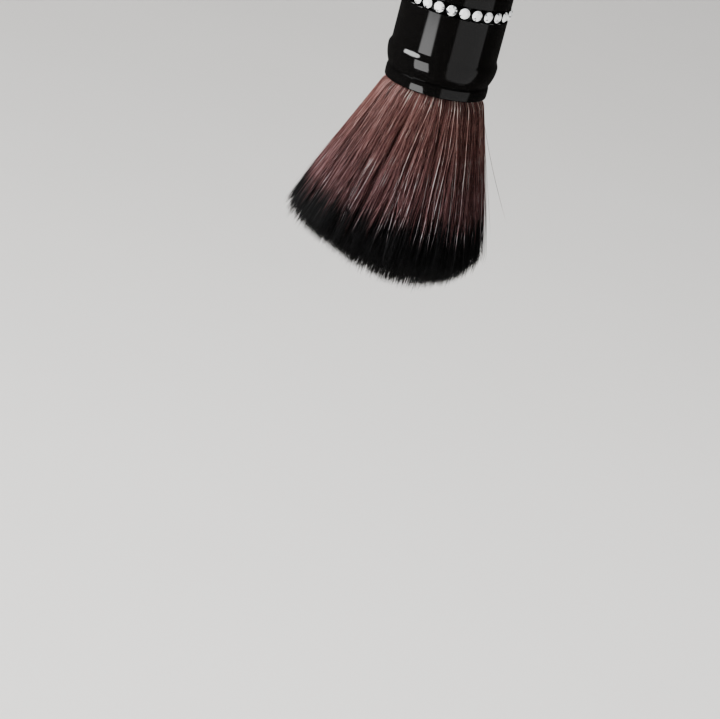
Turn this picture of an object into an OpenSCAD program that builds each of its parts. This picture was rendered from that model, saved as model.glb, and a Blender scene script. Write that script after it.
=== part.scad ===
// Round hair brush: a flared two-tone tuft in a black lacquered ferrule with a band of crystals,
// and a turned wooden handle. +Z runs from the hair tips to the end of the handle, tips at z = 0.

/* [Hair] */
// Free length of the hair, from the ferrule's mouth to the middle of the domed end
hair_length = 41; // [37:0.5:48]
// Radius of the tuft where it is widest, near the tips
tuft_r = 20.9; // [18:0.1:24]
// Distance from the mouth to the corner where the domed end begins
corner_drop = 31; // [28:0.1:34]
// Extra swell of the tuft's side, halfway down
side_swell = 0.4; // [0:0.1:1.5]
// Depth of the dark tips at the tuft's side
dark_tip_depth = 7; // [4:0.5:9]

/* [Bending] */
// Depth of the bending centre below the mouth
bend_drop = 1.5; // [1:0.1:2]
// Radius of the rounded neck that the tuft bends on
neck_r = 9; // [8.5:0.1:9.1]
// Clearance round the neck
neck_gap = 0.3; // [0.2:0.05:0.4]
// Angle from the bending centre's level to the rim of each socket
socket_angle = 35; // [32:1:38]

/* [Mouth collar] */
// Outer radius of the lip at the mouth
lip_r = 10.35; // [10.3:0.05:10.6]
// Height of the lip band
lip_h = 2.3; // [2:0.1:2.5]
// Widest radius of the collar, at its shoulder
shoulder_r = 11.1; // [11.05:0.05:11.3]
// Height of the shoulder above the mouth
shoulder_h = 6.35; // [6.2:0.05:6.6]
// Radius of the round that the bead's profile follows
bead_round = 8; // [7.5:0.1:9]
// Height of the collar
collar_h = 7.75; // [7.5:0.05:9]

/* [Ferrule barrel] */
// Outer radius of the barrel
barrel_r = 10.65; // [10.6:0.05:10.75]
// Length of the whole ferrule, collar included
ferrule_h = 37; // [34:0.5:45]
// Radius of the barrel's lower bore, which the hair cup fills
cup_bore_r = 9.8; // [9.7:0.05:9.85]
// Radius of the barrel's upper bore, which the handle's tenon fills
tenon_bore_r = 8.7; // [8.5:0.05:8.75]
// Height of the step between the two bores
bore_step_h = 13; // [12.6:0.1:14]
// Depth of the rolled groove that grips the tenon
crimp_depth = 0.35; // [0.2:0.05:0.5]

/* [Crystal band] */
// Number of crystals round the barrel
crystal_count = 26; // [24:2:26]
// Height of the crystal band above the mouth
band_h = 17.55; // [17:0.05:19]
// Angle of the first crystal, from +X
first_angle = 4.1; // [0:0.1:13.8]
// Radius of a crystal at its girdle
crystal_r = 1.02; // [0.9:0.02:1.06]

/* [Handle] */
// Length of the handle beyond the ferrule, without the end knob
handle_length = 95; // [80:1:130]
// Radius of the handle's shoulder, against the ferrule
handle_shoulder_r = 10.2; // [9.5:0.1:10.4]
// Radius of the waist
waist_r = 5.6; // [4.5:0.1:7]
// Radius of the swell past the waist
swell_r = 6.8; // [5.5:0.1:8]
// Radius where the handle meets the end knob
tail_r = 4.4; // [4.2:0.1:5.2]

/* [End knob] */
// Radius of the end knob
knob_r = 5.6; // [5.4:0.1:6.5]
// Distance between the two flats on the knob
knob_flats = 8; // [7:0.5:9]
// Radius of the hanging hole
hang_hole_r = 1.25; // [1:0.05:1.5]

/* [Hidden] */
function crystal_name(i) = str("crystal_", i < 10 ? "0" : "", i);
$fn = 96;

mouth_z = hair_length;
bend_z = mouth_z - bend_drop;
socket_r = neck_r + neck_gap;
rim_drop = socket_r * sin(socket_angle);
cup_wall = 0.35;
cup_inner_r = cup_bore_r - cup_wall;
cup_inset = 0.5;
root_r = cup_inner_r - 0.1;
thread_r = 0.2;
thread_turns = 5;
thread_h = 10.2;
thread_top_h = thread_h + 2 * thread_r * thread_turns;
tied_r = root_r - 2 * thread_r;
potted_r = tenon_bore_r - 0.5;
root_top_h = bore_step_h + 4;
plug_top_h = root_top_h + 2;
band_floor_r = barrel_r - 1;
band_half = 1.25;
chain_rim_r = barrel_r + 0.05;
crimp_h = ferrule_h - 6;
knob_z = mouth_z + ferrule_h + handle_length;
cover_inset = 3;
cover_overlap = 2;
cover_end = corner_drop - dark_tip_depth;
inner_end = cover_end + cover_overlap;
rim_s = bend_drop + rim_drop;
side_start_r = lip_r - 0.3;
spigot_r = 2.5;
spigot_l = 8;
knob_centre = 5.2;

// Points of a circular arc, from angle a0 to angle a1
function arc(cx, cy, r, a0, a1, n) =
    [for (i = [0:n]) let (a = a0 + (a1 - a0) * i / n) [cx + r * cos(a), cy + r * sin(a)]];

// A smooth step from v0 to v1 as t goes from 0 to 1
function ease(v0, v1, t) = v0 + (v1 - v0) * (1 - cos(180 * t)) / 2;

// Radius of the tuft's side at a distance s below the mouth
function tuft_side(s) =
    let (t = s / corner_drop)
    side_start_r + (tuft_r - side_start_r) * t + side_swell * sin(180 * t);

// Distance below the mouth of the domed end, at a radius r
function dome_drop(r) =
    hair_length - (hair_length - corner_drop) * (r / tuft_r) * (r / tuft_r);

module turned(points) {
    rotate_extrude() polygon(points);
}

// Bundled roots of the hair, tied and potted inside the ferrule
module hair_root() {
    color([0.42, 0.30, 0.29]) difference() {
        translate([0, 0, mouth_z])
            turned([[0, rim_drop - bend_drop], [root_r, rim_drop - bend_drop],
                    [root_r, thread_h], [tied_r, thread_h], [tied_r, thread_top_h],
                    [potted_r, thread_top_h], [potted_r, root_top_h], [0, root_top_h]]);
        translate([0, 0, bend_z]) sphere(r = socket_r);
    }
}

// The hair's bending zone, which leans one way while the tuft leans the other way on it
module hair_neck() {
    color([0.42, 0.30, 0.29]) translate([0, 0, bend_z]) sphere(r = neck_r);
}

// Long core hair, with the dark domed tips of the whole tuft
module hair_core() {
    steps = 12;
    side = [for (i = [0:steps]) let (s = cover_end + (corner_drop - cover_end) * i / steps)
            [tuft_side(s), -s]];
    dome = [for (i = [1:steps]) let (r = tuft_r * (1 - i / steps)) [r, -dome_drop(r)]];
    color([0.07, 0.06, 0.065]) difference() {
        translate([0, 0, mouth_z])
            turned(concat([[0, -rim_s], [tuft_side(rim_s) - cover_inset, -rim_s],
                           [tuft_side(inner_end) - cover_inset, -inner_end]], side, dome));
        translate([0, 0, bend_z]) sphere(r = socket_r);
    }
}

// Cover hair, a skirt round the core that ends above the dark tips
module hair_cover() {
    steps = 16;
    side = [for (i = [0:steps]) let (s = rim_s + (cover_end - rim_s) * i / steps)
            [tuft_side(s), -s]];
    color([0.42, 0.29, 0.28]) translate([0, 0, mouth_z])
        turned(concat([[tuft_side(rim_s) - cover_inset, -rim_s]], side,
                      [[tuft_side(inner_end) - cover_inset, -inner_end]]));
}

// Turns of waxed thread that tie the roots together
module binding_thread() {
    color([0.80, 0.76, 0.66])
        for (i = [0:thread_turns - 1])
            translate([0, 0, mouth_z + thread_h + thread_r * (2 * i + 1)])
                rotate_extrude() translate([tied_r + thread_r, 0]) circle(r = thread_r - 0.01, $fn = 24);
}

// Cap of hardened resin over the ends of the roots
module epoxy_plug() {
    color([0.55, 0.40, 0.18]) translate([0, 0, mouth_z])
        turned([[potted_r, bore_step_h], [tenon_bore_r, bore_step_h], [tenon_bore_r, plug_top_h],
                [0, plug_top_h], [0, root_top_h], [potted_r, root_top_h]]);
}

// Thin aluminium cup that holds the hair and joins the collar to the barrel
module hair_cup() {
    color([0.70, 0.70, 0.72]) translate([0, 0, mouth_z])
        turned([[cup_inner_r, cup_inset], [cup_bore_r, cup_inset], [cup_bore_r, bore_step_h],
                [cup_inner_r, bore_step_h]]);
}

// Collar at the mouth: a lip with a narrow ledge, and a bead that swells to the shoulder
module mouth_collar() {
    edge = 0.3;
    lip_crown = 0.04;
    chamfer = 0.22;
    foot_angle = -asin((shoulder_h - lip_h) / bead_round);
    lip = [for (i = [1:5]) let (t = i / 6)
           [lip_r + lip_crown * sin(180 * t), edge + (lip_h - chamfer - edge) * t]];
    flare = [for (i = [1:12]) let (t = i / 12)
             [ease(shoulder_r, barrel_r, t), shoulder_h + (collar_h - shoulder_h) * t]];
    bead = arc(shoulder_r - bead_round, shoulder_h, bead_round, foot_angle, 0, 12);
    color([0.03, 0.03, 0.03]) translate([0, 0, mouth_z])
        turned(concat([[cup_bore_r, 0]], arc(lip_r - edge, edge, edge, -90, 0, 5), lip,
                      [[lip_r, lip_h - chamfer], [lip_r - chamfer, lip_h]],
                      bead, flare, [[cup_bore_r, collar_h]]));
}

// Lacquered barrel, with the channel for the crystal band and the rolled groove near its top
module ferrule_barrel() {
    round_r = 0.6;
    channel_edge = 0.12;
    color([0.02, 0.02, 0.02]) translate([0, 0, mouth_z])
        turned(concat([[cup_bore_r, collar_h], [barrel_r, collar_h],
                       [barrel_r, band_h - band_half - channel_edge],
                       [barrel_r - channel_edge, band_h - band_half],
                       [band_floor_r, band_h - band_half], [band_floor_r, band_h + band_half],
                       [barrel_r - channel_edge, band_h + band_half],
                       [barrel_r, band_h + band_half + channel_edge]],
                      [for (i = [0:10]) let (t = i / 10)
                       [barrel_r - crimp_depth * pow(sin(180 * t), 2), crimp_h - 1 + 2 * t]],
                      arc(barrel_r - round_r, ferrule_h - round_r, round_r, 0, 90, 6),
                      [[tenon_bore_r, ferrule_h], [tenon_bore_r, bore_step_h],
                       [cup_bore_r, bore_step_h]]));
}

// Carries a shape that faces +Z out to one place on the band
module on_band(i) {
    rotate([0, 0, first_angle + 360 * (i - 1) / crystal_count])
        translate([0, 0, mouth_z + band_h]) rotate([0, 90, 0]) children();
}

// Chain of tapered cups, joined by short bars, that seats the crystals in the channel
module cup_chain() {
    cup_rim = crystal_r + 0.1;
    cup_base = cup_rim - 0.24;
    cup_depth = chain_rim_r - band_floor_r;
    seat_top = 0.18;
    seat_floor_r = band_floor_r + 0.2;
    link_w = 0.5;
    link_h = 0.22;
    color([0.10, 0.10, 0.10]) difference() {
        union() {
            for (i = [1:crystal_count]) on_band(i)
                translate([0, 0, band_floor_r])
                    cylinder(r1 = cup_base, r2 = cup_rim, h = cup_depth, $fn = 32);
            difference() {
                translate([0, 0, mouth_z + band_h - link_w / 2])
                    cylinder(r = band_floor_r + 2 * link_h, h = link_w);
                translate([0, 0, mouth_z + band_h - link_w])
                    cylinder(r = band_floor_r + link_h, h = 2 * link_w);
            }
        }
        for (i = [1:crystal_count]) on_band(i) {
            translate([0, 0, chain_rim_r - seat_top])
                cylinder(r = crystal_r + 0.03, h = 2 * seat_top, $fn = 32);
            translate([0, 0, seat_floor_r])
                cylinder(r1 = 0.35, r2 = crystal_r, h = chain_rim_r - seat_top - seat_floor_r, $fn = 32);
        }
    }
}

// One cut crystal: a flat table, a faceted crown, a girdle and a pointed back
module crystal(i) {
    table_r = 0.56 * crystal_r;
    crown_h = 0.38;
    girdle_h = 0.1;
    back_h = 0.6;
    color([0.93, 0.94, 0.93]) on_band(i) translate([0, 0, chain_rim_r - girdle_h]) {
        hull() {
            rotate([0, 0, 22.5]) cylinder(r = table_r, h = crown_h + girdle_h, $fn = 8);
            cylinder(r = crystal_r, h = girdle_h, $fn = 16);
            translate([0, 0, -back_h]) cylinder(r = 0.12, h = 0.1, $fn = 8);
        }
    }
}

// Turned wooden handle, with the tenon that is glued and crimped into the barrel
module handle() {
    waist_t = 0.40;
    swell_t = 0.74;
    steps = 14;
    top_z = ferrule_h + handle_length;
    taper = [for (i = [0:steps]) let (t = i / steps)
             [ease(handle_shoulder_r, waist_r, t), ferrule_h + 0.6 + (handle_length * waist_t - 0.6) * t]];
    swell = [for (i = [1:steps]) let (t = i / steps)
             [ease(waist_r, swell_r, t), ferrule_h + handle_length * (waist_t + (swell_t - waist_t) * t)]];
    tail = [for (i = [1:steps]) let (t = i / steps)
            [ease(swell_r, tail_r, t), ferrule_h + handle_length * (swell_t + (1 - swell_t) * t)]];
    color([0.03, 0.025, 0.025]) translate([0, 0, mouth_z])
        turned(concat([[0, plug_top_h], [tenon_bore_r - 0.5, plug_top_h],
                       [tenon_bore_r, plug_top_h + 0.5], [tenon_bore_r, ferrule_h],
                       [handle_shoulder_r - 0.6, ferrule_h]],
                      taper, swell, tail,
                      [[spigot_r, top_z], [spigot_r, top_z - spigot_l], [0, top_z - spigot_l]]));
}

// Rounded end knob with two flats and the hanging hole across them
module end_knob() {
    foot = 0.8;
    foot_angle = -asin((knob_centre - foot) / knob_r);
    color([0.03, 0.025, 0.025]) translate([0, 0, knob_z]) difference() {
        turned(concat([[0, -spigot_l], [spigot_r, -spigot_l], [spigot_r, 0], [tail_r, 0]],
                      [[tail_r, foot]],
                      arc(0, knob_centre, knob_r, foot_angle + 14, 90, 24)));
        for (side = [-1, 1])
            translate([side * (knob_flats / 2 + knob_r), 0, knob_centre])
                cube([2 * knob_r, 4 * knob_r, 4 * knob_r], center = true);
        translate([-knob_r - 1, 0, knob_centre + 0.8]) rotate([0, 90, 0])
            cylinder(r = hang_hole_r, h = 2 * knob_r + 2, $fn = 48);
    }
}

hair_root();
hair_neck();
hair_core();
hair_cover();
binding_thread();
epoxy_plug();
hair_cup();
mouth_collar();
ferrule_barrel();
cup_chain();
for (i = [1:crystal_count])
    crystal(i);
handle();
end_knob();
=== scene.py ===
import math
import bpy
import numpy as np
from mathutils import Matrix, Vector


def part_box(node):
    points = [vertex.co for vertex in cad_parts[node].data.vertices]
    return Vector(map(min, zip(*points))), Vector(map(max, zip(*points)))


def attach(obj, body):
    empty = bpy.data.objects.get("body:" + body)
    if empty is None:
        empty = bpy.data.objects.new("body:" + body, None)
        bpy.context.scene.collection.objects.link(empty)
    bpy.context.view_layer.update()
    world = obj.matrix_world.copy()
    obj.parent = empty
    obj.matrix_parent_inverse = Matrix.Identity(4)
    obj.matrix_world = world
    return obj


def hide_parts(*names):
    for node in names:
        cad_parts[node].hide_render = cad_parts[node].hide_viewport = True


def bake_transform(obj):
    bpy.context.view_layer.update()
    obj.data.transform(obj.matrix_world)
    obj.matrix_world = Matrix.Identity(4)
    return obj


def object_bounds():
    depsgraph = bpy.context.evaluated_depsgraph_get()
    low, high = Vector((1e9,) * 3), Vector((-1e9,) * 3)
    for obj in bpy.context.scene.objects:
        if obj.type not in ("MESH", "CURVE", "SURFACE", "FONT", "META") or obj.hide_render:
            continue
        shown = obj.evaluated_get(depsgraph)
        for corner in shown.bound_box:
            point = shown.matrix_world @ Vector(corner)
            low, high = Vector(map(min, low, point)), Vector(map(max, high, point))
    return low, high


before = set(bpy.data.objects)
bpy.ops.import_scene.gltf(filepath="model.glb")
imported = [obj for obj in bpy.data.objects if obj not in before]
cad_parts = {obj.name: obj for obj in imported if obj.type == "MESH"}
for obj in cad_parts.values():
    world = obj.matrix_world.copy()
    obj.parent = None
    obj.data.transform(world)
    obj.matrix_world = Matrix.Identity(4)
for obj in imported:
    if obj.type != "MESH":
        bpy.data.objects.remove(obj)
cadLow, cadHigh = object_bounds()
mm = 0.001

# levels along the brush, taken from the frame
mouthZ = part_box("mouth_collar")[0].z
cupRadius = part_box("hair_cup")[1].x
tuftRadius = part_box("hair_core")[1].x
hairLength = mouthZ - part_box("hair_core")[0].z
print("frame loaded, mouth at", round(mouthZ, 4))


class Wire:
    # a socket that adds Math nodes where it stands in an expression
    def __init__(self, finish, socket):
        self.finish = finish
        self.socket = socket

    def maths(self, operation, first, second):
        return self.finish.node("ShaderNodeMath", {"operation": operation}, {0: first, 1: second})

    def beside(self, output):
        # another output of the same node
        return Wire(self.finish, self.socket.node.outputs[output])

    def size(self):
        return self.finish.node("ShaderNodeMath", {"operation": "ABSOLUTE"}, {0: self})

    def __add__(self, other):
        return self.maths("ADD", self, other)

    def __radd__(self, other):
        return self.maths("ADD", other, self)

    def __sub__(self, other):
        return self.maths("SUBTRACT", self, other)

    def __rsub__(self, other):
        return self.maths("SUBTRACT", other, self)

    def __mul__(self, other):
        return self.maths("MULTIPLY", self, other)

    def __rmul__(self, other):
        return self.maths("MULTIPLY", other, self)

    def __pow__(self, other):
        return self.maths("POWER", self, other)


class Finish:
    # a material with its Principled shader, or a light with its Emission, and short ways to add nodes
    def __init__(self, owner, shader="Principled BSDF"):
        self.material = bpy.data.materials.new(owner) if isinstance(owner, str) else owner
        self.material.use_nodes = True
        self.tree = self.material.node_tree
        self.shader = self.tree.nodes[shader]

    def feed(self, socket, value):
        if isinstance(value, Wire):
            self.tree.links.new(value.socket, socket)
        else:
            socket.default_value = value

    def node(self, kind, settings=None, inputs=None, output=0):
        made = self.tree.nodes.new(kind)
        for key, value in (settings or {}).items():
            if key == "stops":
                ramp = made.color_ramp
                while len(ramp.elements) < len(value):
                    ramp.elements.new(0.5)
                for element, (place, colour) in zip(ramp.elements, value):
                    element.position = place
                    element.color = (*colour, 1)
            else:
                setattr(made, key, value)
        for key, value in (inputs or {}).items():
            self.feed(made.inputs[key], value)
        return Wire(self, made.outputs[output])

    def attribute(self, name):
        return self.node("ShaderNodeAttribute", {"attribute_name": name}, output="Fac")

    def place(self):
        return self.node("ShaderNodeTexCoord", output="Object")

    def stretch(self, scale):
        return self.node("ShaderNodeVectorMath", {"operation": "MULTIPLY"},
                         {0: self.place(), 1: scale}, "Vector")

    def noise(self, where, scale, detail=3.0, roughness=0.55):
        return self.node("ShaderNodeTexNoise", {},
                         {"Vector": where, "Scale": scale, "Detail": detail, "Roughness": roughness}, "Fac")

    def fit(self, value, low, high, toLow=0.0, toHigh=1.0, kind="SMOOTHSTEP"):
        reach = {"Value": value, "From Min": low, "From Max": high, "To Min": toLow, "To Max": toHigh}
        return self.node("ShaderNodeMapRange", {"interpolation_type": kind}, reach, "Result")

    def ramp(self, value, stops):
        return self.node("ShaderNodeValToRGB", {"stops": stops}, {"Fac": value}, "Color")

    def mix(self, share, first, second, kind="MIX"):
        return self.node("ShaderNodeMix", {"data_type": "RGBA", "blend_type": kind},
                         {0: share, 6: first, 7: second}, 2)

    def bump(self, height, strength, distance):
        return self.node("ShaderNodeBump", {},
                         {"Height": height, "Strength": strength, "Distance": distance}, "Normal")

    def set(self, **values):
        for key, value in values.items():
            self.feed(self.shader.inputs[key.replace("_", " ")], value)


hairFinish = {
    "dark": (0.030, 0.010, 0.009),
    "middle": (0.215, 0.091, 0.080),
    "light": (0.430, 0.240, 0.214),
    "pale": (0.760, 0.640, 0.580),
    "stops": (0.0, 0.42, 0.78, 1.0),   # the tones at which those four stand
    "mauve": (0.90, 0.96, 1.10),       # cooler tint of the lower half
    "mauveSpan": (0.12, 0.55),         # how much a hair's tone wanders along it, partly random tone and partly painted light and shade of its waves
    "mottleAndWaveShade": 0.85,                    # how much a hair's tone wanders along it
    "dipShadeAndCatchLight": (0.62, 1.04),           # painted shade where a hair dips under others and painted light where it lies on top, as shares of its tone
    "edgeSpan": (-0.055, 0.045),       # how softly the dye edge runs along a hair
    "tip": (0.0018, 0.0017, 0.0019),
    "tipSheen": (0.034, 0.034, 0.036),
    "roughness": 0.42,
}

lacquerFinish = {
    "black": (0.0035, 0.0033, 0.0032),
    "roughness": 0.045,
    "peel": 0.02,
}

woodFinish = {
    "black": (0.006, 0.0048, 0.0044),
    "grain": (0.020, 0.013, 0.010),
}


def makeHairFinish(name):
    finish = Finish(name)
    tone = finish.attribute("tone")
    along = finish.attribute("along")
    edge = finish.attribute("edge")
    # each family gets its own wander in tone, which changes slowly along the hair: partly random tone,
    # partly painted light and shade of the hair's waves
    cell = finish.node("ShaderNodeCombineXYZ", {}, {"X": tone * 91.0, "Y": along * 13.0, "Z": edge * 53.0})
    mottleAndWaveShade = finish.noise(cell, 1.0, 2.0)
    # painted shade and light along each hair: darker where it dips under others, lighter where it lies on
    # top
    dipShadeAndCatchLight = finish.fit(finish.noise(cell, 0.45, 1.0), 0.36, 0.58, *hairFinish["dipShadeAndCatchLight"])
    brightness = tone * dipShadeAndCatchLight + (mottleAndWaveShade - 0.5) * hairFinish["mottleAndWaveShade"]
    shades = [hairFinish[key] for key in ("dark", "middle", "light", "pale")]
    warm = finish.ramp(brightness, list(zip(hairFinish["stops"], shades)))
    mauve = finish.mix(1.0, warm, (*hairFinish["mauve"], 1), "MULTIPLY")
    dyed = finish.mix(finish.fit(along, *hairFinish["mauveSpan"]), warm, mauve)
    tipShare = finish.fit(along - edge, *hairFinish["edgeSpan"])
    tip = finish.mix(tone ** 2.0, (*hairFinish["tip"], 1), (*hairFinish["tipSheen"], 1))
    finish.set(Base_Color=finish.mix(tipShare, dyed, tip),
               Roughness=finish.fit(mottleAndWaveShade, 0.2, 0.8, hairFinish["roughness"] - 0.08,
                                    hairFinish["roughness"] + 0.12))
    finish.shader.inputs["Specular IOR Level"].default_value = 0.22
    return finish.material


def makeLacquerFinish(name, seed):
    finish = Finish(name)
    peel = finish.noise(finish.place(), 900.0 + seed, 2.0)
    smear = finish.noise(finish.stretch((1, 1, 0.35)), 160.0 + seed, 4.0)
    dust = finish.fit(finish.noise(finish.place(), 2600.0 + seed, 1.0), 0.70, 0.78)
    black = lacquerFinish["black"]
    colour = finish.mix(dust * 0.25, (*black, 1), (0.05, 0.048, 0.045, 1))
    finish.set(Base_Color=colour,
               Roughness=finish.fit(smear, 0.35, 0.75, lacquerFinish["roughness"],
                                    lacquerFinish["roughness"] + 0.05) + dust * 0.12,
               Normal=finish.bump(peel, 0.03, lacquerFinish["peel"] * mm))
    finish.shader.inputs["Coat Weight"].default_value = 0.3
    finish.shader.inputs["Coat Roughness"].default_value = 0.03
    return finish.material


def makeHandleFinish(name):
    finish = Finish(name)
    grain = finish.noise(finish.stretch((1, 1, 0.06)), 950.0, 5.0)
    wear = finish.fit(finish.noise(finish.place(), 130.0, 5.0), 0.62, 0.72)
    colour = finish.mix(finish.fit(grain, 0.45, 0.75), (*woodFinish["black"], 1), (*woodFinish["grain"], 1))
    finish.set(Base_Color=colour,
               Roughness=finish.fit(grain, 0.3, 0.8, 0.10, 0.20) + wear * 0.08,
               Normal=finish.bump(grain, 0.12, 0.05 * mm))
    finish.shader.inputs["Coat Weight"].default_value = 0.6
    finish.shader.inputs["Coat Roughness"].default_value = 0.05
    return finish.material


crystalFinish = {
    # painted reflections: a brightness for each face of the cut, and a painted highlight on the flat top
    # face
    "paintedFacetReflections": [(0.0, (0.05, 0.05, 0.055)), (0.15, (0.08, 0.08, 0.09)), (0.20, (0.75, 0.77, 0.77)),
               (0.6, (0.95, 0.96, 0.95))],
    "table": (0.93, 0.94, 0.93),
    "roughness": (0.03, 0.12),
    # strength of the painted light the stones give off, though they are no lamp
    "paintedGlow": 0.9,
}


def makeCrystalFinish(name):
    # painted reflections: each face of the cut gets its own brightness, and the flat top face in the middle
    # is a painted highlight
    finish = Finish(name)
    normal = finish.node("ShaderNodeNewGeometry", output="True Normal")
    snapped = finish.node("ShaderNodeVectorMath", {"operation": "SNAP"}, {0: normal, 1: (0.06, 0.06, 0.06)},
                          "Vector")
    facet = finish.node("ShaderNodeTexWhiteNoise", {"noise_dimensions": "3D"}, {"Vector": snapped}, "Value")
    outward = finish.node("ShaderNodeVectorMath", {"operation": "NORMALIZE"},
                          {0: finish.stretch((1, 1, 0))}, "Vector")
    facing = finish.node("ShaderNodeVectorMath", {"operation": "DOT_PRODUCT"}, {0: outward, 1: normal},
                         "Value")
    # painted reflections, one brightness for each face
    paintedSparkle = finish.ramp(facet, crystalFinish["paintedFacetReflections"])
    colour = finish.mix(finish.fit(facing, 0.92, 0.97), paintedSparkle, (*crystalFinish["table"], 1))
    # the painted reflections also feed the emission, so the stones give off painted light
    finish.set(Base_Color=colour, Roughness=finish.fit(facet, 0.0, 1.0, *crystalFinish["roughness"]),
               Emission_Color=colour)
    finish.shader.inputs["Coat Weight"].default_value = 1.0
    finish.shader.inputs["Coat Roughness"].default_value = 0.02
    finish.shader.inputs["Emission Strength"].default_value = crystalFinish["paintedGlow"]
    return finish.material


def makeMetalFinish(name, colour, roughness):
    finish = Finish(name)
    streak = finish.noise(finish.stretch((1, 1, 9)), 700.0, 3.0)
    tarnish = finish.fit(finish.noise(finish.place(), 420.0, 4.0), 0.5, 0.8)
    dull = tuple(part * 0.55 for part in colour)
    finish.set(Base_Color=finish.mix(tarnish, (*colour, 1), (*dull, 1)), Metallic=1.0,
               Roughness=finish.fit(streak, 0.3, 0.7, roughness, roughness + 0.15),
               Normal=finish.bump(streak, 0.1, 0.01 * mm))
    return finish.material


threadFinish = {
    # the darker colour is painted shade in the grooves between the turns of the twist
    "shade": (0.45, 0.40, 0.29),
    "wax": (0.72, 0.67, 0.54),
    "twist": 900.0,
    "roughness": 0.6,
}


def makeThreadFinish(name):
    finish = Finish(name)
    wave = {"Vector": finish.place(), "Scale": threadFinish["twist"], "Distortion": 1.5}
    kind = {"wave_type": "BANDS", "bands_direction": "DIAGONAL"}
    twist = finish.node("ShaderNodeTexWave", kind, wave, "Fac")
    # painted shade: the dark bands between the turns of the twist
    finish.set(Base_Color=finish.mix(twist, (*threadFinish["shade"], 1), (*threadFinish["wax"], 1)),
               Roughness=threadFinish["roughness"], Normal=finish.bump(twist, 0.5, 0.05 * mm))
    return finish.material


resinFinish = {
    "deep": (0.30, 0.16, 0.04),
    "clear": (0.52, 0.33, 0.12),
    "bubbles": 900.0,
    "roughness": 0.38,
}


def makeResinFinish(name):
    finish = Finish(name)
    cloud = finish.noise(finish.place(), 380.0, 4.0)
    cells = finish.node("ShaderNodeTexVoronoi", {},
                        {"Vector": finish.place(), "Scale": resinFinish["bubbles"]}, "Distance")
    bubble = finish.fit(cells, 0.12, 0.2)
    finish.set(Base_Color=finish.mix(cloud, (*resinFinish["deep"], 1), (*resinFinish["clear"], 1)),
               Roughness=resinFinish["roughness"] - bubble * 0.2,
               Normal=finish.bump(bubble, 0.3, 0.05 * mm))
    return finish.material


floorFinish = {
    "low": (0.70, 0.685, 0.66),
    "high": (0.74, 0.725, 0.70),
    "roughness": 0.8,
}


def makeFloorFinish(name):
    finish = Finish(name)
    cloud = finish.noise(finish.place(), 6.0, 3.0)
    finish.set(Base_Color=finish.mix(cloud, (*floorFinish["low"], 1), (*floorFinish["high"], 1)),
               Roughness=floorFinish["roughness"])
    finish.shader.inputs["Specular IOR Level"].default_value = 0.1
    return finish.material


def paint(nodes, material):
    for name in nodes:
        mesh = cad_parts[name].data
        mesh.materials.clear()
        mesh.materials.append(material)


crystalNodes = sorted(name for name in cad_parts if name.startswith("crystal_"))
paint(["mouth_collar"], makeLacquerFinish("collarGloss", 0.0))
paint(["ferrule_barrel"], makeLacquerFinish("barrelLacquer", 40.0))
paint(["handle"], makeHandleFinish("handleLacquer"))
paint(["end_knob"], makeHandleFinish("knobLacquer"))
paint(["cup_chain"], makeMetalFinish("chainPlate", (0.10, 0.10, 0.10), 0.20))
paint(["hair_cup"], makeMetalFinish("cupSheet", (0.74, 0.74, 0.75), 0.32))
paint(["binding_thread"], makeThreadFinish("waxedThread"))
paint(["epoxy_plug"], makeResinFinish("rootResin"))
paint(crystalNodes, makeCrystalFinish("cutCrystal"))
print("finishes on", len(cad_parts), "nodes")


hair = {
    "seed": 11,
    "coverHairs": 12000,      # long hairs of the outer layers
    "guardHairs": 48,         # thick pale hairs that lie on top
    "strayHairs": 240,        # thin hairs that stand off the tuft
    "coreHairs": 8000,        # hairs inside, of which only the ends show
    "locks": 210,             # small locks that the long hairs gather into
    "families": 160,          # hairs of one family share tone and dye edge
    "paleFamilies": 0.040,    # share of the families that took little dye
    "toneTop": 0.88,          # tone of the lightest dyed hair; pale hair is lighter still
    "thickness": (0.036, 0.080),   # half widths, mm
    "guardThickness": (0.060, 0.095),
    "strayThickness": 0.036,
    "coverDepth": 0.25,       # share of the radius that the cover fills
    "splitDrop": 5.5 * mm,    # where the short upper lengths meet the long lower ones
    "lap": 0.8 * mm,          # how far the two lengths run into each other
    "hiddenDrop": -2.6 * mm,  # the hairs start this far up inside the ferrule
    "bendEnd": 21.0 * mm,     # below this the tuft stays stiff when it bends
    "cornerDrop": 32.2 * mm,  # where the side turns into the domed end
    "swell": 0.2 * mm,        # bulge of the side at mid length
    "mouthFlare": 0.6 * mm,   # the side draws in under the lip
    "sideInset": 0.4 * mm,    # outermost hairs lie this far inside the solid tuft
    "rimFlare": 1.0 * mm,     # and the longest ones spread a little past the corner
    "dyeDrop": 23.6 * mm,     # mean edge of the dark tips
    "dyeRagged": 1.7 * mm,    # how far that edge strays from family to family
    "paleDyeDrop": 2.0 * mm,  # pale hairs reach this much further into the dark tips
    "lean": 3.8 * mm,         # how far the tips lean towards -X
    "leanPower": 1.15,
    "domeInset": 0.9 * mm,    # the dome ends this far above the lowest point of the frame
    "endTilt": 0.255,         # the worn end hangs lower on the +X side
    "cornerTilt": 0.060,      # and so does its outer rim
    "raggedEnds": 0.5 * mm,   # spread of the hairs' ends round the dome
    "shortHairs": 0.06,       # share of the hairs that are broken off short
    "shortBy": (1, 6),        # mm
    "wornSide": math.radians(200),  # the side that has lost most of its pale hairs
    "wornSpan": 0.45,         # cosine of half the angle that side takes up
    "wornLoss": 0.7,          # share of its pale hairs that are gone
}

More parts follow.
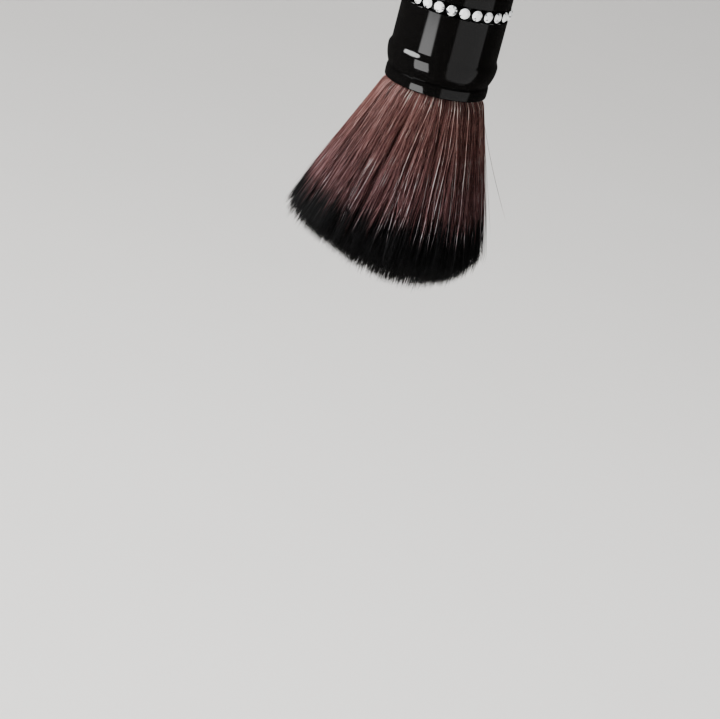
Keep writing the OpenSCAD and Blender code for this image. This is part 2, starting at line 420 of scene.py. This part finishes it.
# how far the hairs stray from a combed tuft: angles in radians at the tips, sideways runs in mm
disorder = {
    "lockWidth": 0.032,
    "gather": 0.85,           # a lock draws together by up to this share
    "lockDepth": 0.020,       # and lies in or out by this share of the radius
    "crossing": 0.38,         # share of the hairs that run across the others
    "crossingSlant": 0.095,
    "hairSlant": 0.022,
    "lockSlant": 0.060,
    "lockBow": 0.95,
    "hairBow": 0.28,
    "wave": (0.03, 0.26),
    "waveTurns": (1.2, 4.6),
    "lockWave": 0.34,
    "lockWaveTurn": 8.0,
    "guardBow": 1.3,
    "guardSlant": 0.085,
    "straySlant": 0.10,
    "strayStandOff": 0.8,
    "strayShortBy": 9,
}
random = np.random.default_rng(hair["seed"])
toneSpread = random.beta(2.0, 2.6, hair["families"])
paleOnes = random.uniform(0, 1, hair["families"]) < hair["paleFamilies"]
paleOnes[0] = False           # family 0 takes the hairs of the worn side, so it is never pale
familyTone = np.where(paleOnes, random.uniform(0.85, 1.0, hair["families"]), toneSpread * hair["toneTop"])
familyEdge = hair["dyeDrop"] + random.normal(0, hair["dyeRagged"], hair["families"])
familyEdge = (familyEdge + hair["paleDyeDrop"] * paleOnes) / hairLength


def sideRadius(drop):
    # radius of the tuft's side at a distance below the mouth
    share = drop / hair["cornerDrop"]
    inside = np.clip(share, 0, 1)
    start = cupRadius + 0.5 * mm
    tucked = hair["mouthFlare"] * np.clip(1 - drop / mm, 0, 1.5)
    side = start - tucked + (tuftRadius - start) * inside + hair["swell"] * np.sin(np.pi * inside)
    return side - hair["sideInset"] + hair["rimFlare"] * np.clip(share - 1, 0, 0.4)


def endDrop(share, x):
    # where the domed end lies below the mouth, for a hair at this share of the radius
    dome = hairLength - hair["cornerDrop"] - hair["domeInset"] + hair["endTilt"] * x
    return hair["cornerDrop"] + dome * (1 - share ** 2) + hair["cornerTilt"] * x


def leanAt(travel):
    return hair["lean"] * travel ** hair["leanPower"]


def ripples(counts, size):
    # a smooth wavering value round the tuft, as a function of the angle
    waves = [(count, random.uniform(0, 2 * np.pi), random.uniform(0.5, 1)) for count in counts]
    total = sum(weight for count, phase, weight in waves)

    def waver(angle):
        return size * sum(weight * np.sin(count * angle + phase) for count, phase, weight in waves) / total

    return waver


driftOf = ripples((5, 9, 14, 23), 0.10)          # sideways drift of whole hanks, radians at the tips
depthOf = ripples((13, 26, 41, 62, 89), 0.16)    # hanks that stand out or lie back
bowOf = ripples((7, 16, 31, 47), 1.5 * mm)       # hanks that bow sideways at mid length


def growHairs(count, lowShare, highShare, outer):
    # one value or row for each hair: its place round and across the tuft, its run, thickness and family
    def perLock(spreadOf, *values):
        return spreadOf(*values, hair["locks"])[lock]

    hairs = {"share": np.sqrt(random.uniform(lowShare ** 2, highShare ** 2, count))}
    lock = random.integers(0, hair["locks"], count)
    places = (np.arange(hair["locks"]) + random.uniform(0, 0.9, hair["locks"])) * 2 * np.pi / hair["locks"]
    anywhere = random.uniform(0, 2 * np.pi, count)
    hairs["angle"] = places[lock] + random.normal(0, disorder["lockWidth"], count) if outer else anywhere
    hairs["lockAngle"] = places[lock] if outer else anywhere
    pull = perLock(random.uniform, 0.0, disorder["gather"])
    hairs["lockDepth"] = perLock(random.normal, 0, disorder["lockDepth"])
    crossing = random.uniform(0, 1, count) < disorder["crossing"]
    across = random.normal(0, disorder["crossingSlant"], count)
    hairs["slant"] = np.where(crossing, across, random.normal(0, disorder["hairSlant"], count))
    hairs["slant"] = hairs["slant"] + perLock(random.normal, 0, disorder["lockSlant"])
    hairs["pull"] = np.where(crossing, 0.0, pull)
    lockBow = perLock(random.normal, 0, disorder["lockBow"])
    hairs["bow"] = (lockBow + random.normal(0, disorder["hairBow"], count)) * mm
    hairs["wave"] = random.uniform(*disorder["wave"], count) * mm
    hairs["phase"] = random.uniform(0, 2 * np.pi, count)
    hairs["turns"] = random.uniform(*disorder["waveTurns"], count)
    hairs["lockWave"] = perLock(random.normal, 0, disorder["lockWave"]) * mm
    hairs["lockPhase"] = perLock(random.uniform, 0, 2 * np.pi)
    hairs["half"] = random.uniform(*hair["thickness"], count) * mm
    hairs["standOff"] = np.zeros(count)

    # a lock mostly holds hairs of a few families
    favourites = random.integers(0, hair["families"], (hair["locks"], 4))
    own = favourites[lock, random.integers(0, 4, count)]
    anyFamily = random.integers(0, hair["families"], count)
    family = np.where(random.uniform(0, 1, count) < 0.5, own, anyFamily)
    worn = np.cos(hairs["angle"] - hair["wornSide"]) > hair["wornSpan"]
    worn = worn & (random.uniform(0, 1, count) < hair["wornLoss"])
    hairs["family"] = np.where(worn & paleOnes[family], 0, family)

    x = hairs["share"] * tuftRadius * np.cos(hairs["angle"])
    hairs["end"] = endDrop(np.minimum(hairs["share"], 1), x) + random.normal(0, hair["raggedEnds"], count)
    short = random.uniform(0, 1, count) < hair["shortHairs"]
    shorter = hairs["end"] - random.uniform(*hair["shortBy"], count) * mm
    hairs["end"] = np.where(short, shorter, hairs["end"])
    return hairs


def hairPoints(hairs, drop):
    # points of each hair at the given drops, one row per hair; the powers of travel set how soon below the
    # mouth each wandering begins
    column = {key: value[:, None] for key, value in hairs.items()}
    travel = np.clip(drop / hairLength, 0, 1.1)
    side = sideRadius(drop)
    hump = np.sin(np.pi * np.clip(travel, 0, 1)) ** 1.2
    layer = column["lockDepth"] + depthOf(column["angle"]) * (column["share"] - 0.6)
    radius = column["share"] * side * (1 + layer * travel ** 0.7) + column["standOff"] * travel ** 1.5
    swing = np.sin(2 * np.pi * column["turns"] * travel + column["phase"])
    waver = column["wave"] * np.sqrt(travel) * swing
    rolling = np.sin(disorder["lockWaveTurn"] * travel + column["lockPhase"])
    sway = hump * (column["bow"] + bowOf(column["angle"])) + waver
    sway = sway + column["lockWave"] * np.sqrt(travel) * rolling
    gather = (column["lockAngle"] - column["angle"]) * column["pull"] * travel ** 1.2
    angle = column["angle"] + gather + (column["slant"] + driftOf(column["angle"])) * travel + sway / side
    return np.stack([radius * np.cos(angle) - leanAt(travel), radius * np.sin(angle), mouthZ - drop], -1)


bakeMap = {
    "left": 0.3,              # the three sides of a hair lie at these shares of its column
    "step": 0.2,
    "low": 0.04,
    "span": 0.88,
    "hidden": 0.07,           # share of the length that is up inside the ferrule
}


def strandMesh(name, hairs, drop, tapers, tipped, material):
    # three-sided closed tubes along the hairs; tipped hairs end in a point, the others in a small cap
    points = hairPoints(hairs, drop)
    count, rings = drop.shape
    tangent = np.gradient(points, axis=1)
    tangent /= np.linalg.norm(tangent, axis=2, keepdims=True)
    outward = np.stack([np.cos(hairs["angle"]), np.sin(hairs["angle"]), 0 * hairs["angle"]], -1)[:, None, :]
    first = np.cross(tangent, outward)
    first /= np.linalg.norm(first, axis=2, keepdims=True) + 1e-12
    second = np.cross(tangent, first)
    half = hairs["half"][:, None] * tapers
    corners = []
    for side in range(3):
        turn = 2 * math.pi * side / 3 + math.pi / 6
        corners.append(points + half[..., None] * (first * math.cos(turn) + second * math.sin(turn)))
    tube = np.stack(corners, 2)                       # hair, ring, side, xyz
    closed = rings - 1 if tipped else rings
    vertices = tube[:, :closed].reshape(count, closed * 3, 3)
    if tipped:
        vertices = np.concatenate([vertices, points[:, -1:, :]], 1)
    each = vertices.shape[1]
    ring, side = np.meshgrid(np.arange(closed - 1), np.arange(3), indexing="ij")
    ring, side = ring.ravel(), side.ravel()
    following = (side + 1) % 3
    here, below = ring * 3, (ring + 1) * 3
    quads = np.stack([here + side, here + following, below + following, below + side], 1)
    last = (closed - 1) * 3
    if tipped:
        tips = np.array([[last + s, last + (s + 1) % 3, each - 1] for s in range(3)])
    else:
        tips = np.array([[last, last + 1, last + 2]])
    caps = np.concatenate([np.array([[2, 1, 0]]), tips])
    offset = np.arange(count)[:, None, None] * each
    quadLoops = (quads[None] + offset).reshape(-1)
    capLoops = (caps[None] + offset).reshape(-1)
    loops = np.concatenate([quadLoops, capLoops])
    totals = np.concatenate([np.full(len(quadLoops) // 4, 4), np.full(len(capLoops) // 3, 3)])
    starts = np.concatenate([[0], np.cumsum(totals)[:-1]])
    mesh = bpy.data.meshes.new(name)
    mesh.vertices.add(count * each)
    mesh.vertices.foreach_set("co", vertices.astype(np.float32).ravel())
    mesh.loops.add(len(loops))
    mesh.loops.foreach_set("vertex_index", loops.astype(np.int32))
    mesh.polygons.add(len(totals))
    mesh.polygons.foreach_set("loop_start", starts.astype(np.int32))
    mesh.polygons.foreach_set("use_smooth", np.ones(len(totals), bool))
    mesh.update(calc_edges=True)

    ringAlong = drop / hairLength
    along = np.repeat(ringAlong[:, :closed], 3, 1)
    if tipped:
        along = np.concatenate([along, ringAlong[:, -1:]], 1)
    tone = np.repeat(familyTone[hairs["family"]], each)
    edge = np.repeat(familyEdge[hairs["family"]], each)
    for label, values in (("tone", tone), ("edge", edge), ("along", along.ravel())):
        layer = mesh.attributes.new(label, "FLOAT", "POINT")
        layer.data.foreach_set("value", values.astype(np.float32))

    # one narrow column of the bake map for each family, with the hair's length up the column
    sideOf = np.tile(np.arange(3), closed)
    if tipped:
        sideOf = np.append(sideOf, 1)
    across = bakeMap["left"] + bakeMap["step"] * np.tile(sideOf, count)
    u = (np.repeat(hairs["family"], each) + across) / hair["families"]
    v = np.clip(bakeMap["low"] + bakeMap["span"] * (along.ravel() + bakeMap["hidden"]), 0, 1)
    uv = np.stack([u, v], 1)[loops]
    mesh.uv_layers.new(name="OFBake").data.foreach_set("uv", uv.astype(np.float32).ravel())
    mesh.materials.append(material)
    piece = bpy.data.objects.new(name, mesh)
    bpy.context.scene.collection.objects.link(piece)
    return piece


def spread(low, high, steps, power=1.0):
    share = np.linspace(0, 1, steps) ** power
    return low + (high - low) * share


def partOf(hairs, chosen):
    return {key: value[chosen] for key, value in hairs.items()}


strandFinish = makeHairFinish("dyedHair")
# rings along each length, and how thick the hair is at each; both lengths thin out where they lap
upperRings = np.append(spread(hair["hiddenDrop"], hair["splitDrop"], 5), hair["splitDrop"] + hair["lap"])
upperTapers = np.array([1, 1, 1, 1, 1, 0.5])[None]
lowerShares = spread(0, 1, 13, 0.85)
lowerTapers = np.concatenate([[0.5], np.ones(8), [0.94, 0.82, 0.62, 0.4, 0.2]])[None]


def growLengths(label, hairs, groupsUpper=1, groupsLower=1, replaced=()):
    # each hair is two lengths that meet below the mouth
    count = len(hairs["angle"])
    for group in range(groupsUpper):
        part = partOf(hairs, np.arange(group, count, groupsUpper))
        drop = np.tile(upperRings, (len(part["angle"]), 1))
        piece = strandMesh("%sUpper%d" % (label, group + 1), part, drop, upperTapers, False, strandFinish)
        if group == 0 and replaced:
            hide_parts(replaced[0])
        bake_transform(piece)
    for group in range(groupsLower):
        part = partOf(hairs, np.arange(group, count, groupsLower))
        drop = hair["splitDrop"] + (part["end"][:, None] - hair["splitDrop"]) * lowerShares[None]
        drop = np.concatenate([np.full((len(drop), 1), hair["splitDrop"] - hair["lap"]), drop], 1)
        piece = strandMesh("%sLower%d" % (label, group + 1), part, drop, lowerTapers, True, strandFinish)
        if group == 0 and replaced:
            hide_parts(replaced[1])
        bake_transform(piece)


coverHairs = growHairs(hair["coverHairs"], 1 - hair["coverDepth"], 1.0, True)
growLengths("coverHair", coverHairs, 2, 5, replaced=("hair_neck", "hair_cover"))

guardHairs = growHairs(hair["guardHairs"], 0.985, 1.015, True)
guardHairs["half"] = random.uniform(*hair["guardThickness"], hair["guardHairs"]) * mm
guardHairs["angle"] = hair["wornSide"] + random.uniform(0.7, 5.3, hair["guardHairs"])
guardHairs["lockAngle"] = guardHairs["angle"]
guardHairs["bow"] = random.normal(0, disorder["guardBow"], hair["guardHairs"]) * mm
guardHairs["slant"] = random.normal(0, disorder["guardSlant"], hair["guardHairs"])
guardHairs["family"] = random.choice(np.flatnonzero(paleOnes), hair["guardHairs"])
growLengths("guardHair", guardHairs)

strayHairs = growHairs(hair["strayHairs"], 0.97, 1.0, True)
strayHairs["standOff"] = random.exponential(disorder["strayStandOff"], hair["strayHairs"]) * mm
strayHairs["slant"] = random.normal(0, disorder["straySlant"], hair["strayHairs"])
strayHairs["half"] = np.full(hair["strayHairs"], hair["strayThickness"]) * mm
strayHairs["end"] = strayHairs["end"] - random.uniform(0, disorder["strayShortBy"], hair["strayHairs"]) * mm
looseHair = {"angle": -0.10, "lockAngle": -0.10, "slant": 0.0, "bow": 0.0, "wave": 0.0, "half": 0.05 * mm,
             "standOff": 14.0 * mm, "end": 23.0 * mm}     # one hair has come loose on the right
for key, value in looseHair.items():
    strayHairs[key][0] = value
growLengths("strayHair", strayHairs)

core = {
    "groups": 2,
    "shown": 12 * mm,         # length of each core hair, of which only the end shows
    "shares": spread(0, 1, 6, 0.8)[None],
    "tapers": np.array([1.0, 1.0, 0.9, 0.7, 0.45, 0.2])[None],
}
coreHairs = growHairs(hair["coreHairs"], 0.0, 1 - hair["coverDepth"] * 0.5, False)
for group in range(core["groups"]):
    part = partOf(coreHairs, np.arange(group, hair["coreHairs"], core["groups"]))
    drop = part["end"][:, None] - core["shown"] * (1 - core["shares"])
    piece = strandMesh("coreHair%d" % (group + 1), part, drop, core["tapers"], True, strandFinish)
    if group == 0:
        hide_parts("hair_core")
    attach(piece, "tuft")
print("hairs grown", hair["coverHairs"] + hair["coreHairs"])

# the dense inside of the bundle, which the single hairs lie over
mass = {
    "around": 120,
    "rowsUpper": 8,
    "rowsSide": 18,
    "rowsDome": 8,
    "domeStop": 0.97,         # the dome stops just short of the axis
    "sideShare": 0.88,        # its side lies at this share of the tuft's radius
    "endInset": 2.6 * mm,     # and its end this far inside the tuft's
    "ripple": 0.012,          # share of the radius by which its side is uneven
}


def ringFaces(rows, count):
    # the quads between rings of count points each
    faces = []
    for row in range(rows - 1):
        here, below = row * count, (row + 1) * count
        for i in range(count):
            j = (i + 1) % count
            faces.append((here + i, below + i, below + j, here + j))
    return faces


def massMesh(name, drops, shares, material):
    # a turned closed body through rings of the given drop and share of the side's radius
    count = mass["around"]
    angles = np.linspace(0, 2 * np.pi, count, endpoint=False)
    ripple = 1 + mass["ripple"] * np.sin(angles * 37) * np.sin(angles * 11 + 1)
    rings = []
    for drop, share in zip(drops, shares):
        radius = share * sideRadius(np.array(drop)) * ripple
        lean = leanAt(max(drop / hairLength, 0))
        level = np.full(count, mouthZ - drop)
        rings.append(np.stack([radius * np.cos(angles) - lean, radius * np.sin(angles), level], 1))
    vertices = np.concatenate(rings)
    faces = [tuple(range(count)), tuple(reversed(range(len(vertices) - count, len(vertices))))]
    mesh = bpy.data.meshes.new(name)
    mesh.from_pydata([tuple(v) for v in vertices], [], faces + ringFaces(len(rings), count))
    mesh.polygons.foreach_set("use_smooth", np.ones(len(mesh.polygons), bool))
    along = (mouthZ - vertices[:, 2]) / hairLength
    mesh.attributes.new("along", "FLOAT", "POINT").data.foreach_set("value", along.astype(np.float32))
    mesh.materials.append(material)
    piece = bpy.data.objects.new(name, mesh)
    bpy.context.scene.collection.objects.link(piece)
    return piece


def makeShadedMassFinish(name):
    # the same dyes as the single hairs, only the darker ones, as painted shade between them
    finish = Finish(name)
    along = finish.attribute("along")
    strands = finish.noise(finish.stretch((1, 1, 0.04)), 2600.0, 4.0)
    # painted shade: only the dark and middle dyes
    dyed = finish.ramp(strands, [(0.25, hairFinish["dark"]), (0.75, hairFinish["middle"])])
    edge = hair["dyeDrop"] / hairLength
    tipShare = finish.fit(along + strands * 0.08, edge - 0.02, edge + 0.08)
    finish.set(Base_Color=finish.mix(tipShare, dyed, (*hairFinish["tip"], 1)), Roughness=0.6,
               Normal=finish.bump(strands, 0.8, 0.2 * mm))
    return finish.material


# the packed hair is coloured dark as painted shade under the single hairs
shadedMassFinish = makeShadedMassFinish("packedHair")
upperDrops = spread(hair["hiddenDrop"], hair["splitDrop"], mass["rowsUpper"])
upperShares = np.full(mass["rowsUpper"], mass["sideShare"])
upperMass = massMesh("packedHairUpper", upperDrops, upperShares, shadedMassFinish)
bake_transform(upperMass)
sideDrops = spread(hair["splitDrop"], hair["cornerDrop"] - mass["endInset"], mass["rowsSide"])
domeShares = np.cos(np.linspace(0, np.pi / 2 * mass["domeStop"], mass["rowsDome"] + 1))[1:]
domeDrops = endDrop(domeShares, 0) - mass["endInset"]
lowerDrops = np.concatenate([sideDrops, domeDrops])
ringShares = mass["sideShare"] * np.concatenate([np.ones(mass["rowsSide"]), domeShares])
lowerMass = massMesh("packedHairLower", lowerDrops, ringShares, shadedMassFinish)
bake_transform(lowerMass)
# the hair at the root and inside the tuft gets the same painted shade
rootFinish = makeShadedMassFinish("rootHair")
paint(["hair_root", "hair_neck", "hair_core", "hair_cover"], rootFinish)
print("packed hair under the single hairs")


stage = {
    "floorDrop": 0.32,
    "floorCentre": 0.00002,   # a ring too small to see closes the floor's middle
    "floorRadius": 1.6,
    "sweepStart": 2.6,        # where the floor begins to curve up into the backdrop
    "sweepRadius": 5.0,
    "sweepTurn": math.radians(78),
    "sweepSteps": 24,
    "around": 96,
    "skyStrength": 2.4,
    "skySpread": math.radians(50),
    "worldColour": (0.55, 0.52, 0.50),
    "worldStrength": 0.06,
}


def turnedStage(name, profile, material):
    # a round sheet turned from (radius, height above the floor) pairs
    around = stage["around"]
    low = cadLow.z - stage["floorDrop"]
    vertices = []
    for radius, height in profile:
        for step in range(around):
            turn = 2 * math.pi * step / around
            vertices.append((radius * math.cos(turn), radius * math.sin(turn), low + height))
    faces = ringFaces(len(profile), around)
    mesh = bpy.data.meshes.new(name)
    mesh.from_pydata(vertices, [], faces)
    mesh.polygons.foreach_set("use_smooth", np.ones(len(faces), bool))
    mesh.materials.append(material)
    sheet = bpy.data.objects.new(name, mesh)
    bpy.context.scene.collection.objects.link(sheet)
    sheet.visible_glossy = False
    return sheet


def softbox(name, azimuth, elevation, distance, width, height, power, edge=0.12, roundness=6.0):
    # azimuth 0 is the camera's side, positive to the right; elevation is above the aim's level
    aim = Vector((0, 0, mouthZ + 8 * mm))
    turn, rise = math.radians(azimuth), math.radians(elevation)
    out = Vector((math.sin(turn) * math.cos(rise), -math.cos(turn) * math.cos(rise), math.sin(rise)))
    data = bpy.data.lights.new(name, "AREA")
    data.shape = "RECTANGLE"
    data.size, data.size_y = width, height
    data.energy = power
    # the cloth is bright in its middle and fades at its rounded edge
    cloth = Finish(data, "Emission")
    place = cloth.node("ShaderNodeSeparateXYZ", {},
                       {"Vector": cloth.node("ShaderNodeNewGeometry", output="Parametric")}, "X")
    across = place * 2.0 - 1.0
    upward = place.beside("Y") * 2.0 - 1.0
    far = across.size() ** roundness + upward.size() ** roundness
    cloth.set(Strength=cloth.fit(far, 1.0 - edge * roundness, 1.0, 1.0, 0.0))
    light = bpy.data.objects.new(name, data)
    light.location = aim + out * distance
    light.rotation_mode = "QUATERNION"
    light.rotation_quaternion = out.to_track_quat("Z", "Y")
    light.visible_camera = False
    bpy.context.scene.collection.objects.link(light)
    return light


paper = makeFloorFinish("paleFloor")
floor = turnedStage("floor", [(stage["floorCentre"], 0), (0.4, 0), (stage["floorRadius"], 0)], paper)
sweep = [(stage["floorRadius"], 0), (stage["sweepStart"], 0)]
for step in range(1, stage["sweepSteps"] + 1):
    slope = stage["sweepTurn"] * step / stage["sweepSteps"]
    sweep.append((stage["sweepStart"] + stage["sweepRadius"] * math.sin(slope),
                  stage["sweepRadius"] * (1 - math.cos(slope))))
backdrop = turnedStage("backdrop", sweep, paper)
backdrop.visible_diffuse = False
backdrop.visible_shadow = False

# each softbox's azimuth and elevation, distance, width, height and power, then its edge and roundness
lights = {
    "stripLeft": (-39, -24.4, 0.46, 0.27, 0.24, 0.72),
    "panelRight": (50, 2, 0.62, 0.90, 1.50, 1.75),
    "keyHigh": (-72, 30, 0.70, 0.50, 0.42, 8.0, 0.2, 2.5),
    "frontFill": (-50, 30, 0.9, 0.5, 0.6, 5.6),
    "backLeft": (-158, 30, 0.9, 0.5, 0.6, 2.0),
    "backRight": (140, 20, 1.0, 0.5, 0.6, 0.6),
    "overhead": (20, 82, 1.6, 2.2, 2.2, 65.0),
}
boxes = {name: softbox(name, *values) for name, values in lights.items()}
boxes["panelRight"].visible_diffuse = False      # it only draws the wide reflection
for name in ("frontFill", "backLeft", "backRight", "overhead"):
    boxes[name].visible_glossy = False

# the floor and backdrop have lights of their own
floorOnly = bpy.data.collections.new("floorOnly")
floorOnly.objects.link(floor)
floorOnly.objects.link(backdrop)
boxes["overhead"].light_linking.receiver_collection = floorOnly
skyLight = bpy.data.lights.new("skyLight", "SUN")
skyLight.energy = stage["skyStrength"]
skyLight.angle = stage["skySpread"]
sky = bpy.data.objects.new("skyLight", skyLight)
sky.visible_glossy = False
sky.light_linking.receiver_collection = floorOnly
bpy.context.scene.collection.objects.link(sky)

world = bpy.data.worlds.new("studio")
world.use_nodes = True
world.node_tree.nodes["Background"].inputs["Color"].default_value = (*stage["worldColour"], 1)
world.node_tree.nodes["Background"].inputs["Strength"].default_value = stage["worldStrength"]
bpy.context.scene.world = world

shot = {
    "distance": 0.5714,
    "elevation": 19.5,
    "roll": 14.77,
    "lens": 139.35,
    "aimX": -0.50 * mm,
    "aimDrop": 59.75 * mm,     # how far below the ferrule's mouth the view is centred
}


def makeCamera():
    data = bpy.data.cameras.new("camera")
    data.sensor_width = 36
    data.lens = shot["lens"]
    data.clip_start = 0.01
    camera = bpy.data.objects.new("camera", data)
    rise = math.radians(shot["elevation"])
    back = Vector((0, -math.cos(rise), math.sin(rise)))
    aim = Vector((shot["aimX"], 0, mouthZ - shot["aimDrop"]))
    look = (-back).to_track_quat("-Z", "Y").to_matrix()
    turn = Matrix.Rotation(math.radians(shot["roll"]), 3, "Z")
    camera.matrix_world = Matrix.Translation(aim + back * shot["distance"]) @ (look @ turn).to_4x4()
    bpy.context.scene.collection.objects.link(camera)
    bpy.context.scene.camera = camera


makeCamera()
print("floor, lights and camera ready")
